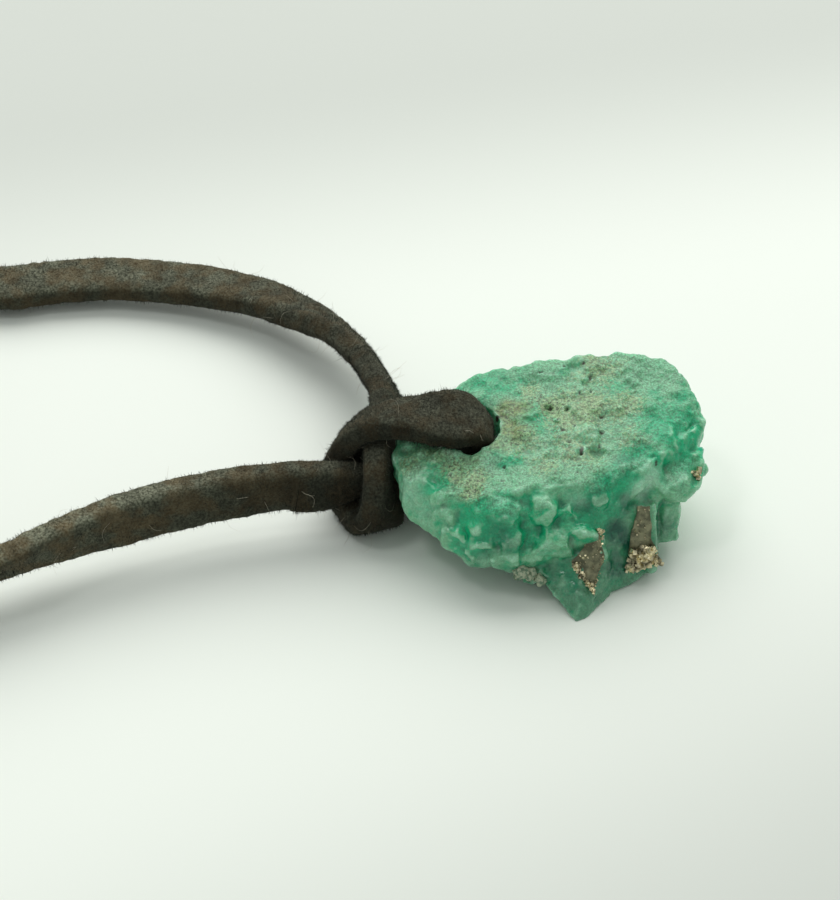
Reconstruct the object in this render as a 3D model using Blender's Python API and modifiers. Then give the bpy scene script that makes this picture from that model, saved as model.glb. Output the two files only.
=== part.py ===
"""Emerald in matrix: a rough drilled stone on a flat suede lace.

The stone is one solid: a worn slab of pale matrix and emerald whose front face
overhangs a lower tier of darker crystals, with lumps of pyrite grown into it.
The lace goes once through the drilled hole, is tied in a half knot against the
stone's left end, and its two strands run to a flat coil.

Units are metres, +Z is up, and everything rests on the plane z = 0.
"""

import math
import random

import bmesh
import bpy
import numpy as np
from mathutils import Matrix, Vector

MM = 0.001

# Driving dimensions of the stone, in millimetres
HOLE_CENTRE = (-4.65, 2.15)
HOLE_DIAMETER = 3.8
VOXEL = 0.24
WEAR_HEIGHT = 0.22
WEAR_SIZE = 1.6
STONE_TRIANGLES_KEPT = 0.24
RIM_LUMP_GAP = 1.3
RIM_LUMP_SIZES = (0.6, 1.15)
RIM_LUMP_DROPS = (-1.7, -1.0)
RIM_LUMP_INSET = 0.12
# Rows of lumps across the front: height and how far forward each row's middle stands
FRONT_ROWS = ((4.6, -3.1), (3.4, -3.7), (2.4, -4.0))
FRONT_LUMPS_IN_ROW = 8
FRONT_LUMP_GAP = 1.05
FRONT_LEFT_END = -5.6
FRONT_BEND_CENTRE = -2.0
FRONT_BEND = 0.075

# Driving dimensions of the lace, in millimetres
LACE_WIDTH = 3.0
LACE_THICKNESS = 1.4
RIBBON_STEP = 0.45
HITCH_VOXEL = 0.2
HITCH_TRIANGLES_KEPT = 0.09
COIL_CENTRE = (-58.5, 8.5)
COIL_MEAN_DIAMETER = 33.0
TURN_PITCH = 1.6
COIL_TURNS = 3.4
LAYER_GAP = 0.2

# The worn top of the slab: its rim, clockwise from the left end seen from above
TOP_RIM = [
    (-8.5, 1.0, 5.0), (-8.1, 2.9, 5.5), (-5.8, 5.1, 6.0), (-4.3, 6.3, 6.4), (-0.6, 6.4, 6.7),
    (0.8, 6.9, 7.0), (3.6, 7.3, 7.2), (6.4, 6.9, 7.2), (7.6, 5.0, 6.8), (8.3, 2.8, 6.1),
    (6.2, 0.4, 6.1), (3.4, -1.6, 5.9), (-0.3, -2.4, 5.8), (-4.6, -2.9, 5.4), (-7.9, -0.8, 4.8),
]
# The slab's foot, where its overhang turns under
SLAB_FOOT = [
    (-8.3, 1.0, 3.8), (-7.8, -1.6, 2.8), (-5.4, -3.8, 2.3), (-2.4, -4.3, 2.0),
    (1.2, -4.0, 2.1), (3.8, -2.6, 2.8), (7.0, -0.4, 4.2), (8.0, 2.6, 4.0),
    (7.0, 5.3, 3.0), (3.6, 6.1, 2.4), (-2.6, 5.6, 2.8), (-6.2, 4.5, 3.2),
]
UNDERSIDE = [
    (-5.0, 3.4, 2.5), (-5.4, -1.4, 2.1), (-0.5, 4.6, 0.2), (5.2, 4.2, -0.5),
    (5.6, 0.6, -0.1), (2.2, -2.6, 0.6), (-2.4, -2.2, 1.6), (-1.0, 1.0, 0.4),
]

# The crystal whose corner reaches the ground at the front
APEX_CRYSTAL = [
    (1.15, -6.7, -0.1), (1.7, -6.3, 0.0), (-0.5, -4.7, 0.9), (-0.6, -3.6, 2.2), (1.5, -4.4, 2.6),
    (3.0, -4.6, 0.0), (3.0, -3.6, 2.4), (0.0, -1.5, 2.4), (3.0, -1.5, 2.6), (0.2, -2.0, 0.3),
    (3.0, -2.0, 0.0),
]
# The pale ledge that juts out at the right end, above the dark crystal
RIGHT_LEDGE = [
    (5.0, -1.0, 4.9), (6.3, -1.5, 4.5), (7.7, -0.9, 4.3), (8.2, 0.2, 4.6), (5.2, -1.2, 3.9), (7.0, -1.3, 3.6),
    (7.4, -0.2, 3.4), (5.2, 0.8, 5.6), (8.1, 1.4, 5.4), (5.6, 0.4, 3.6),
]
# The dark crystal beside it, behind the pyrite
FRONT_CRYSTAL = [
    (2.6, -4.7, 0.0), (4.4, -3.7, 0.1), (5.6, -2.6, 0.7), (5.4, -1.6, 3.8), (3.2, -2.6, 3.8),
    (3.0, -0.5, 3.4), (5.6, 0.2, 3.6), (2.8, -0.8, 0.0), (5.6, -0.2, 0.2),
]
# The six-sided crystals: foot, head, radius and turn in radians
PRISMS = [
    ((5.9, -0.7, 0.9), (6.1, -0.2, 4.0), 1.05, 0.3), ((-0.2, -2.4, 1.9), (-0.8, -4.5, 1.2), 0.8, 0.9),
    ((-0.1, -2.4, 3.3), (-0.1, -4.4, 2.75), 1.35, 0.3), ((-2.6, -2.8, 3.0), (-2.6, -4.8, 2.5), 1.0, 0.1),
    ((-3.7, -2.6, 3.4), (-3.8, -4.4, 2.8), 1.1, 0.5), ((-4.6, -2.2, 3.3), (-5.3, -3.7, 3.0), 1.1, 0.8),
    ((1.4, -2.2, 3.3), (1.7, -3.9, 3.1), 1.0, 0.2), ((0.5, -1.6, 4.1), (0.4, -3.3, 4.2), 1.0, 0.6),
    ((-5.0, -1.4, 3.8), (-5.9, -3.0, 3.8), 0.95, 0.2), ((-2.4, -1.8, 4.1), (-2.3, -3.5, 4.3), 1.25, 0.9),
    ((-0.7, -3.4, 1.5), (-1.45, -4.5, 1.05), 0.6, 0.4),
]
CRYSTAL_TAPER = 0.8
# Each flat pyrite face with the points behind it, and the lumps of grain: centre and half sizes
PYRITE_FACES = [
    [
        (2.65, -3.45, 3.35), (2.85, -4.0, 2.2), (2.2, -5.15, 0.65), (1.05, -4.45, 1.95),
        (2.3, -2.5, 2.6), (2.4, -3.4, 0.6), (1.4, -3.0, 1.4),
    ],
    [
        (4.5, -1.95, 3.95), (5.4, -1.7, 3.95), (5.55, -2.75, 1.5), (4.75, -3.1, 1.3),
        (4.6, -1.3, 3.5), (5.4, -1.1, 3.5), (5.3, -2.0, 1.2), (4.7, -2.2, 1.2),
    ],
]
PYRITE_LUMPS = [
    ((2.0, -4.8, 0.9), (0.5, 0.5, 0.5)), ((2.5, -3.9, 2.4), (0.4, 0.4, 0.6)),
    ((4.9, -2.9, 1.3), (0.6, 0.5, 0.6)),
    ((5.2, -3.1, 0.75), (0.45, 0.45, 0.45)), ((8.0, 0.6, 4.3), (0.35, 0.4, 0.5)),
]
# The pits of the worn top: centre and radius, which lies across; each is a little longer from front to back
PITS = [(1.44, -0.1, 6.2, 0.3), (-0.08, 3.3, 6.55, 0.2), (0.87, 3.07, 6.6, 0.2), (0.25, 2.17, 6.45, 0.22)]
PIT_DEPTH = 0.35

# The lace in the hole and the half knot, from the back strand's end to the front strand's start:
# the strip's centre, the direction of its width, and its width as a share of the loose lace's
BACK_EXIT = ((-9.95, 11.62, 2.57), (-0.45, 0.0, 0.88), 1.0)
FRONT_EXIT = ((-13.6, 0.45, 3.3), (0.0, 0.05, 1.0), 1.0)
KNOT_ROUTE = [
    BACK_EXIT,
    ((-9.25, 9.53, 2.9), (-0.45, 0.0, 0.88), 1.0), ((-8.85, 7.9, 3.2), (-0.45, 0.0, 0.88), 0.95),
    ((-8.75, 6.0, 3.6), (-0.45, -0.05, 0.85), 0.9), ((-8.85, 4.05, 4.0), (-0.4, -0.25, 0.85), 0.85),
    ((-9.15, 2.2, 4.4), (-0.25, -0.6, 0.7), 0.8), ((-9.28, 0.95, 4.2), (-0.15, -0.9, 0.4), 0.75),
    ((-9.3, 0.35, 3.4), (-0.15, -0.97, 0.2), 0.75), ((-9.3, 0.15, 2.3), (-0.45, -0.88, 0.1), 0.85),
    ((-9.3, 0.25, 1.3), (-0.85, -0.5, 0.1), 1.0), ((-9.6, 0.75, 0.85), (-0.97, -0.22, 0.0), 1.05),
    ((-10.15, 1.65, 0.82), (-0.97, -0.25, 0.0), 1.0), ((-10.7, 2.7, 0.97), (-0.95, -0.3, 0.0), 1.0),
    ((-11.0, 3.35, 1.9), (-0.85, -0.5, 0.0), 0.95), ((-11.0, 3.3, 3.1), (-0.65, -0.75, 0.1), 0.9),
    ((-10.75, 2.95, 4.35), (-0.35, -0.88, 0.3), 0.9), ((-10.2, 2.65, 5.4), (-0.15, -0.87, 0.45), 0.95),
    ((-9.45, 2.45, 6.1), (0.0, -0.92, 0.38), 1.0), ((-8.5, 2.25, 6.5), (0.0, -0.97, 0.22), 1.0),
    ((-7.45, 2.05, 6.7), (0.0, -1.0, 0.08), 1.0), ((-6.13, 1.9, 6.8), (0.0, -0.97, -0.12), 1.0),
    ((-4.8, 1.9, 6.7), (0.0, -0.95, -0.25), 0.95), ((-3.9, 1.97, 6.05), (0.0, -1.0, -0.1), 0.78),
    ((-3.85, 2.1, 5.0), (0.0, -1.0, 0.0), 0.7), ((-4.5, 2.1, 3.4), (0.0, -1.0, 0.0), 0.75),
    ((-5.0, 2.1, 2.1), (0.0, -1.0, 0.0), 0.8), ((-5.8, 2.1, 1.2), (0.0, -1.0, 0.0), 0.95),
    ((-7.0, 2.15, 1.2), (0.0, -1.0, 0.1), 1.0), ((-8.15, 2.25, 1.75), (0.0, -0.9, 0.4), 0.95),
    ((-9.2, 2.2, 2.3), (0.05, -0.72, 0.7), 0.9), ((-10.2, 1.7, 2.6), (0.1, -0.45, 0.88), 0.9),
    ((-11.3, 1.1, 2.9), (0.0, -0.2, 0.98), 0.95), ((-12.4, 0.7, 3.1), (0.0, 0.0, 1.0), 1.0),
    FRONT_EXIT,
]
# The free strands, from the knot to the coil: the strip's centre and its lean from upright, in degrees
UPPER_STRAND = [
    ((-10.22, 12.2, 2.53), -32), ((-11.05, 13.86, 2.45), -40), ((-11.88, 15.01, 2.4), -50),
    ((-12.96, 16.14, 2.3), -62), ((-14.01, 17.21, 2.15), -72), ((-16.37, 19.17, 1.85), -84),
    ((-19.26, 20.45, 1.6), -92), ((-22.16, 21.31, 1.45), -95), ((-25.92, 21.74, 1.35), -96),
    ((-29.66, 21.36, 1.3), -96), ((-32.12, 20.95, 1.3), -98), ((-38.5, 22.0, 1.3), -115),
    ((-45.0, 26.0, 1.45), -155), ((-53.5, 28.6, 1.58), -180),
]
LOWER_STRAND = [
    ((-14.18, 0.42, 3.35), -4), ((-16.87, -0.13, 3.35), 0), ((-19.27, -0.8, 3.3), 2),
    ((-21.44, -1.52, 3.2), 3), ((-23.79, -2.48, 3.1), -4), ((-25.84, -3.46, 3.0), -14),
    ((-27.42, -4.3, 2.95), -24), ((-28.78, -5.15, 2.95), -30), ((-34.0, -7.4, 3.0), -20),
    ((-41.0, -9.8, 3.6), -6), ((-53.5, -11.6, 4.65), 0),
]


def collection_for(name, hidden=False):
    made = bpy.data.collections.new(name)
    bpy.context.scene.collection.children.link(made)
    made.hide_render = hidden
    return made


def material(name, colour, roughness, metallic=0.0):
    made = bpy.data.materials.new(name)
    made.use_nodes = True
    shader = made.node_tree.nodes["Principled BSDF"]
    shader.inputs["Base Color"].default_value = (*colour, 1.0)
    shader.inputs["Roughness"].default_value = roughness
    shader.inputs["Metallic"].default_value = metallic
    made.diffuse_color = (*colour, 1.0)
    return made


def scaled(points):
    """The points, given in millimetres, as metre vectors."""
    return [Vector(point) * MM for point in points]


def add_hull(bm, points):
    """Adds the convex block whose corners are among the points."""
    corners = [bm.verts.new(point) for point in scaled(points)]
    made = bmesh.ops.convex_hull(bm, input=corners)
    unused = [g for g in made["geom_interior"] + made["geom_unused"] if isinstance(g, bmesh.types.BMVert)]
    bmesh.ops.delete(bm, geom=list(set(unused)), context="VERTS")


def add_lump(bm, centre, size, rng, subdivisions=2):
    """Adds one rounded lump, turned at random, with the given half sizes."""
    turn = Matrix.Rotation(rng.uniform(0, math.tau), 4, "Z") @ Matrix.Rotation(rng.uniform(-0.5, 0.5), 4, "X")
    place = Matrix.Translation(Vector(centre) * MM) @ turn @ Matrix.Diagonal((*(Vector(size) * MM), 1.0))
    bmesh.ops.create_icosphere(bm, subdivisions=subdivisions, radius=1.0, matrix=place)


def add_crystal(bm, foot, head, radius, turn):
    """Adds a six-sided crystal with flat faces, tapered from foot to head, both in millimetres."""
    foot, head = Vector(foot) * MM, Vector(head) * MM
    axis = head - foot
    place = Matrix.Translation((foot + head) / 2) @ axis.to_track_quat("Z", "Y").to_matrix().to_4x4()
    place = place @ Matrix.Rotation(turn, 4, "Z")
    bmesh.ops.create_cone(
        bm, cap_ends=True, segments=6, radius1=radius * MM, radius2=radius * CRYSTAL_TAPER * MM,
        depth=axis.length, matrix=place,
    )


def object_from(bm, name, collection):
    bmesh.ops.recalc_face_normals(bm, faces=bm.faces)
    mesh = bpy.data.meshes.new(name)
    bm.to_mesh(mesh)
    bm.free()
    made = bpy.data.objects.new(name, mesh)
    collection.objects.link(made)
    return made


def displace(obj, name, height, size, seed_offset):
    """Roughens the surface with a smooth noise of the given height and grain size, in millimetres."""
    texture = bpy.data.textures.new(name, "CLOUDS")
    texture.noise_scale = size * MM
    texture.noise_depth = 1
    guide = bpy.data.objects.new(name + "_origin", None)
    guide.location = Vector((seed_offset, -seed_offset, seed_offset)) * MM
    bpy.data.collections["guides"].objects.link(guide)
    modifier = obj.modifiers.new(name, "DISPLACE")
    modifier.texture = texture
    modifier.texture_coords = "OBJECT"
    modifier.texture_coords_object = guide
    modifier.strength = height * MM * 2
    modifier.mid_level = 0.5


def boolean(obj, name, operation, other):
    modifier = obj.modifiers.new(name, "BOOLEAN")
    modifier.operation = operation
    modifier.solver = "EXACT"
    modifier.use_self = True
    modifier.object = other


def rim_lumps(bm, rng):
    """Lumps along the slab's edge and front face, so that its outline is broken like a rock's."""
    rim = [np.array(point) for point in TOP_RIM]
    for first, second in zip(rim, rim[1:] + rim[:1]):
        steps = max(1, round(float(np.linalg.norm(second - first)) / RIM_LUMP_GAP))
        for step in range(steps):
            on_rim = first + (second - first) * (step + rng.uniform(0.2, 0.8)) / steps
            inward = -on_rim * (RIM_LUMP_INSET, RIM_LUMP_INSET, 0.0)
            centre = on_rim + inward + (0, 0, rng.uniform(*RIM_LUMP_DROPS))
            add_lump(bm, centre, [rng.uniform(*RIM_LUMP_SIZES) for _ in range(3)], rng)


def front_lumps(bm, rng):
    """The rounded crystals that crowd the overhanging front face and its ledge."""
    for row, (height, reach) in enumerate(FRONT_ROWS):
        for step in range(FRONT_LUMPS_IN_ROW):
            x = FRONT_LEFT_END + step * FRONT_LUMP_GAP + rng.uniform(-0.3, 0.3) + 0.3 * row
            y = reach + FRONT_BEND * (x - FRONT_BEND_CENTRE) ** 2 + rng.uniform(-0.25, 0.25)
            size = [rng.uniform(0.7, 1.15), rng.uniform(0.6, 0.9), rng.uniform(0.6, 0.95)]
            add_lump(bm, (x, y, height + rng.uniform(-0.3, 0.3)), size, rng)


def build_stone(collection, hidden):
    rng = random.Random(11)
    bm = bmesh.new()
    add_hull(bm, TOP_RIM + SLAB_FOOT)
    add_hull(bm, SLAB_FOOT + UNDERSIDE)
    rim_lumps(bm, rng)
    front_lumps(bm, rng)
    stone = object_from(bm, "emerald_matrix", collection)
    remesh = stone.modifiers.new("fuse", "REMESH")
    remesh.mode = "VOXEL"
    remesh.voxel_size = VOXEL * MM
    displace(stone, "wear", WEAR_HEIGHT, WEAR_SIZE, 3.1)
    thin = stone.modifiers.new("thin", "DECIMATE")
    thin.ratio = STONE_TRIANGLES_KEPT
    boolean(stone, "crystals", "UNION", crystals(hidden))
    boolean(stone, "pyrite", "UNION", pyrite(hidden))
    boolean(stone, "pits", "DIFFERENCE", pits(hidden))
    boolean(stone, "drilled_hole", "DIFFERENCE", drill(hidden))
    boolean(stone, "flat_foot", "DIFFERENCE", ground(hidden))
    stone.data.materials.append(material("emerald_in_matrix", (0.16, 0.42, 0.28), 0.45))
    return stone


def crystals(hidden):
    """The flat-faced crystals of the front, the lower tier and the right end."""
    bm = bmesh.new()
    for corners in (APEX_CRYSTAL, FRONT_CRYSTAL, RIGHT_LEDGE):
        add_hull(bm, corners)
    for foot, head, radius, turn in PRISMS:
        add_crystal(bm, foot, head, radius, turn)
    return fused(bm, "crystals", hidden)


def pyrite(hidden):
    """The two flat pyrite faces in the front hollows, with their grains and the grain at the right end."""
    rng = random.Random(5)
    bm = bmesh.new()
    for corners in PYRITE_FACES:
        add_hull(bm, corners)
    for centre, size in PYRITE_LUMPS:
        add_lump(bm, centre, size, rng, subdivisions=1)
    return fused(bm, "pyrite", hidden)


def pits(hidden):
    """The small dark pits of the worn top."""
    rng = random.Random(3)
    bm = bmesh.new()
    for x, y, z, radius in PITS:
        add_lump(bm, (x, y, z), (radius, radius * 1.2, PIT_DEPTH), rng, subdivisions=1)
    return fused(bm, "pits", hidden)


def drill(hidden):
    """A rod through the whole height of the stone."""
    bm = bmesh.new()
    middle, length = 4.0, 16.0
    place = Matrix.Translation(Vector((*HOLE_CENTRE, middle)) * MM)
    radius = HOLE_DIAMETER / 2 * MM
    bmesh.ops.create_cone(
        bm, cap_ends=True, segments=20, radius1=radius, radius2=radius, depth=length * MM, matrix=place
    )
    return fused(bm, "drill", hidden)


def ground(hidden):
    """A slab whose top is the plane that the stone rests on."""
    bm = bmesh.new()
    width, depth = 40 * MM, 10 * MM
    place = Matrix.Translation((0, 0, -depth / 2)) @ Matrix.Diagonal((width, width, depth, 1))
    bmesh.ops.create_cube(bm, size=1.0, matrix=place)
    return fused(bm, "ground", hidden)


def fused(bm, name, hidden):
    """The cutter or block made from the bmesh, hidden and drawn as wire."""
    made = object_from(bm, name, hidden)
    made.hide_render = True
    made.display_type = "WIRE"
    return made


def smooth_route(route, step):
    """Places about one step apart on a smooth curve through the route, as an array of rows."""
    knots = np.array([np.concatenate([np.ravel(part) for part in row]) for row in route], float)
    padded = np.vstack([2 * knots[0] - knots[1], knots, 2 * knots[-1] - knots[-2]])
    rows = []
    for first, second, third, fourth in zip(padded, padded[1:], padded[2:], padded[3:]):
        count = max(1, round(float(np.linalg.norm((third - second)[:3])) / step))
        for t in np.arange(count) / count:
            rows.append(
                0.5 * (2 * second + (third - first) * t + (2 * first - 5 * second + 4 * third - fourth) * t**2
                       + (3 * second - first - 3 * third + fourth) * t**3)
            )
    return np.array(rows + [knots[-1]])


def ribbon(name, route, collection):
    """A flat strip along the route, as an open surface that Solidify gives its thickness."""
    rows = smooth_route(route, RIBBON_STEP)
    centres, across = rows[:, :3], rows[:, 3:6]
    along = np.gradient(centres, axis=0)
    along /= np.linalg.norm(along, axis=1, keepdims=True)
    across = across - along * (across * along).sum(axis=1, keepdims=True)
    across /= np.linalg.norm(across, axis=1, keepdims=True)
    reach = across * rows[:, 6:] * LACE_WIDTH / 2
    bm = bmesh.new()
    columns = [[bm.verts.new(Vector(p) * MM) for p in centres + reach * side] for side in (-1, 1)]
    for left, right, next_left, next_right in zip(columns[0], columns[1], columns[0][1:], columns[1][1:]):
        bm.faces.new((left, right, next_right, next_left))
    made = object_from(bm, name, collection)
    solid = made.modifiers.new("thickness", "SOLIDIFY")
    solid.thickness = LACE_THICKNESS * MM
    solid.offset = 0.0
    return made


def build_hitch(collection, leather):
    """The half knot, fused where the lace presses on itself."""
    hitch = ribbon("lace_hitch", KNOT_ROUTE, collection)
    remesh = hitch.modifiers.new("pressed_together", "REMESH")
    remesh.mode = "VOXEL"
    remesh.voxel_size = HITCH_VOXEL * MM
    thin = hitch.modifiers.new("thin", "DECIMATE")
    thin.ratio = HITCH_TRIANGLES_KEPT
    hitch.data.materials.append(leather)
    return hitch


def build_strand(name, route, collection, leather):
    """A flat strip along the route, as a bevelled curve whose extrusion is its width."""
    rows = smooth_route(route, LACE_WIDTH * 0.6)
    curve = bpy.data.curves.new(name, "CURVE")
    curve.dimensions = "3D"
    curve.twist_mode = "Z_UP"
    curve.extrude = (LACE_WIDTH - LACE_THICKNESS) / 2 * MM
    curve.bevel_depth = LACE_THICKNESS / 2 * MM
    curve.bevel_resolution = 1
    curve.use_fill_caps = True
    spline = curve.splines.new("POLY")
    spline.points.add(len(rows) - 1)
    for point, row in zip(spline.points, rows):
        point.co = (*(Vector(row[:3]) * MM), 1.0)
        point.tilt = math.radians(row[3])
    strand = bpy.data.objects.new(name, curve)
    collection.objects.link(strand)
    curve.materials.append(leather)
    return strand


def build_coil(collection, leather):
    """The outer shape of the coiled length: two flat layers of turns, the lace on edge."""
    half_band = COIL_TURNS * TURN_PITCH / 2 + LACE_THICKNESS / 2
    inner, outer = COIL_MEAN_DIAMETER / 2 - half_band, COIL_MEAN_DIAMETER / 2 + half_band
    height = 2 * LACE_WIDTH + LAYER_GAP
    bm = bmesh.new()
    corners = [(outer, height), (outer, 0.0), (inner, 0.0), (inner, height)]
    verts = [bm.verts.new(Vector((radius, 0.0, z)) * MM) for radius, z in corners]
    for first, second in zip(verts, verts[1:] + verts[:1]):
        bm.edges.new((first, second))
    mesh = bpy.data.meshes.new("lace_coil")
    bm.to_mesh(mesh)
    bm.free()
    coil = bpy.data.objects.new("lace_coil", mesh)
    coil.location = Vector((*COIL_CENTRE, 0.0)) * MM
    collection.objects.link(coil)
    turn = coil.modifiers.new("turn", "SCREW")
    turn.steps = turn.render_steps = 40
    turn.use_merge_vertices = True
    turn.merge_threshold = 0.00001
    mesh.materials.append(leather)
    return coil


def clear_scene():
    for obj in list(bpy.data.objects):
        bpy.data.objects.remove(obj)


def centre_under(stone, collection):
    """Carries every object sideways, so that the origin is under the middle of the stone."""
    bpy.context.view_layer.update()
    measured = stone.evaluated_get(bpy.context.evaluated_depsgraph_get())
    corners = np.array([corner[:] for corner in measured.bound_box])
    middle = (corners.min(axis=0) + corners.max(axis=0)) / 2
    carrier = bpy.data.objects.new("origin", None)
    for obj in list(bpy.data.objects):
        if obj is not carrier:
            obj.parent = carrier
    carrier.location = (-middle[0], -middle[1], 0.0)
    collection.objects.link(carrier)


def main():
    clear_scene()
    collection = collection_for("emerald_in_matrix")
    hidden = collection_for("cutters", hidden=True)
    collection_for("guides", hidden=True)
    stone = build_stone(collection, hidden)
    leather = material("brown_suede", (0.05, 0.035, 0.022), 0.95)
    build_hitch(collection, leather)
    build_strand("lace_strand_upper", UPPER_STRAND, collection, leather)
    build_strand("lace_strand_lower", LOWER_STRAND, collection, leather)
    build_coil(collection, leather)
    centre_under(stone, collection)


if __name__ == "__main__":
    main()
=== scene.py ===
"""Emerald in matrix: the finished look of a rough drilled stone on a flat suede lace.

The file is laid out as a Blender add-on and is run as a script. Shapes are worked out with numpy in the
millimetres of the object's own drawing and are moved into the row frame, in metres, as they become meshes.
"""

import itertools
import math

import bmesh
import bpy
import numpy as np
from bpy.props import FloatProperty, FloatVectorProperty, PointerProperty
from bpy.types import Operator, Panel, PropertyGroup
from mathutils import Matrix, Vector


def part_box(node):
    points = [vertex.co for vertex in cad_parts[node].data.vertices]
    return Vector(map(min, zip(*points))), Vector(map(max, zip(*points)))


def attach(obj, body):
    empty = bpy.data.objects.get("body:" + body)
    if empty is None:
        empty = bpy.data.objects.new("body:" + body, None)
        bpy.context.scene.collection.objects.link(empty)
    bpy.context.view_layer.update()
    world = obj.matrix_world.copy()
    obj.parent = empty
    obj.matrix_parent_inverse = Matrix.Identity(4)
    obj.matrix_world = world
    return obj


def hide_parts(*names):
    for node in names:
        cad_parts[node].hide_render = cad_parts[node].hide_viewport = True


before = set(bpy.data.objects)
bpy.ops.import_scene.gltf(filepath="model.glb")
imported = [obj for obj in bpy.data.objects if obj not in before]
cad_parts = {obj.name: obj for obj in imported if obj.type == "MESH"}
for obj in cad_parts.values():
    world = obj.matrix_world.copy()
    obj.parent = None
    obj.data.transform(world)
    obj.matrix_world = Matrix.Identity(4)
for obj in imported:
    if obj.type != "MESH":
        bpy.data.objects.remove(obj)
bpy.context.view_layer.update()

bl_info = {
    "name": "Emerald in Matrix on a Suede Lace",
    "version": (1, 0, 0),
    "blender": (4, 5, 0),
    "location": "View3D > Sidebar > Emerald",
    "description": "Finishes a drilled emerald stone, its pyrite and its flat suede lace",
    "category": "Object",
}

MM = 0.001
FLOOR_GAP = 0.01  # millimetres left between the lowest points of the lace and the floor
STEPS_PER_GAP = 40  # steps of the lace's smooth line between two rows of its route
SPIRAL_STEPS = 24  # rows of the coil's route in one turn
FINE_STEP, COARSE_STEP = 0.11, 0.42  # millimetres between the skin's rings near the stone and in the coil
NEAR_KNOT = 48.0  # millimetres of each strand that are near the stone
SKIN_POINTS = 44  # points round the lace
SQUARENESS = 4.5  # how boxy the lace's rounded section is: 2 is an ellipse
ROOT_DEPTH = 0.03  # millimetres by which fibres and hairs are rooted under the skin
LONG_FIBRES = 0.008  # the share of the nap's fibres that stand out long
STRAY_LENGTHS = (0.4, 1.5)
STRAY_REACH = 14.0  # millimetres of each strand, from the knot, that carry stray hairs
STRAY_RINGS = 9

# The lace's route, in drawing millimetres, from the back strand's end of the knot to the front strand's start:
# the strip's centre, the direction of its width, and its width as a share of the loose lace's
BACK_EXIT = (-9.95, 11.62, 2.57)
FRONT_EXIT = (-13.6, 0.45, 3.3)
KNOT_ROUTE = [
    (BACK_EXIT, (-0.45, 0.0, 0.88), 1.0),
    ((-9.25, 9.53, 2.9), (-0.45, 0.0, 0.88), 1.0), ((-8.85, 7.9, 3.2), (-0.45, 0.0, 0.88), 0.95),
    ((-8.75, 6.0, 3.6), (-0.45, -0.05, 0.85), 0.9), ((-8.85, 4.05, 4.0), (-0.4, -0.25, 0.85), 0.85),
    ((-9.15, 2.2, 4.4), (-0.25, -0.6, 0.7), 0.8), ((-9.28, 0.95, 4.2), (-0.15, -0.9, 0.4), 0.75),
    ((-9.3, 0.35, 3.4), (-0.15, -0.97, 0.2), 0.75), ((-9.3, 0.15, 2.3), (-0.45, -0.88, 0.1), 0.85),
    ((-9.3, 0.25, 1.3), (-0.85, -0.5, 0.1), 1.0), ((-9.6, 0.75, 0.85), (-0.97, -0.22, 0.0), 1.05),
    ((-10.15, 1.65, 0.82), (-0.97, -0.25, 0.0), 1.0), ((-10.7, 2.7, 0.97), (-0.95, -0.3, 0.0), 1.0),
    ((-11.0, 3.35, 1.9), (-0.85, -0.5, 0.0), 0.95), ((-11.0, 3.3, 3.1), (-0.65, -0.75, 0.1), 0.9),
    ((-10.75, 2.95, 4.35), (-0.35, -0.88, 0.3), 0.9), ((-10.2, 2.65, 5.4), (-0.15, -0.87, 0.45), 0.95),
    ((-9.45, 2.45, 6.1), (0.0, -0.92, 0.38), 1.0), ((-8.5, 2.25, 6.5), (0.0, -0.97, 0.22), 1.0),
    ((-7.45, 2.05, 6.7), (0.0, -1.0, 0.08), 1.0), ((-6.13, 1.9, 6.8), (0.0, -0.97, -0.12), 1.12),
    ((-4.8, 1.9, 6.7), (0.0, -0.95, -0.25), 1.12), ((-3.9, 1.97, 6.05), (0.0, -1.0, -0.1), 0.78),
    ((-3.85, 2.1, 5.0), (0.0, -1.0, 0.0), 0.7), ((-4.5, 2.1, 3.4), (0.0, -1.0, 0.0), 0.75),
    ((-5.0, 2.1, 2.1), (0.0, -1.0, 0.0), 0.8), ((-5.8, 2.1, 1.2), (0.0, -1.0, 0.0), 0.95),
    ((-7.0, 2.15, 1.2), (0.0, -1.0, 0.1), 1.0), ((-8.15, 2.25, 1.75), (0.0, -0.9, 0.4), 0.95),
    ((-9.2, 2.2, 2.3), (0.05, -0.72, 0.7), 0.9), ((-10.2, 1.7, 2.6), (0.1, -0.45, 0.88), 0.9),
    ((-11.3, 1.1, 2.9), (0.0, -0.2, 0.98), 0.95), ((-12.4, 0.7, 3.1), (0.0, 0.0, 1.0), 1.0),
    (FRONT_EXIT, (0.0, 0.05, 1.0), 1.0),
]
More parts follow.
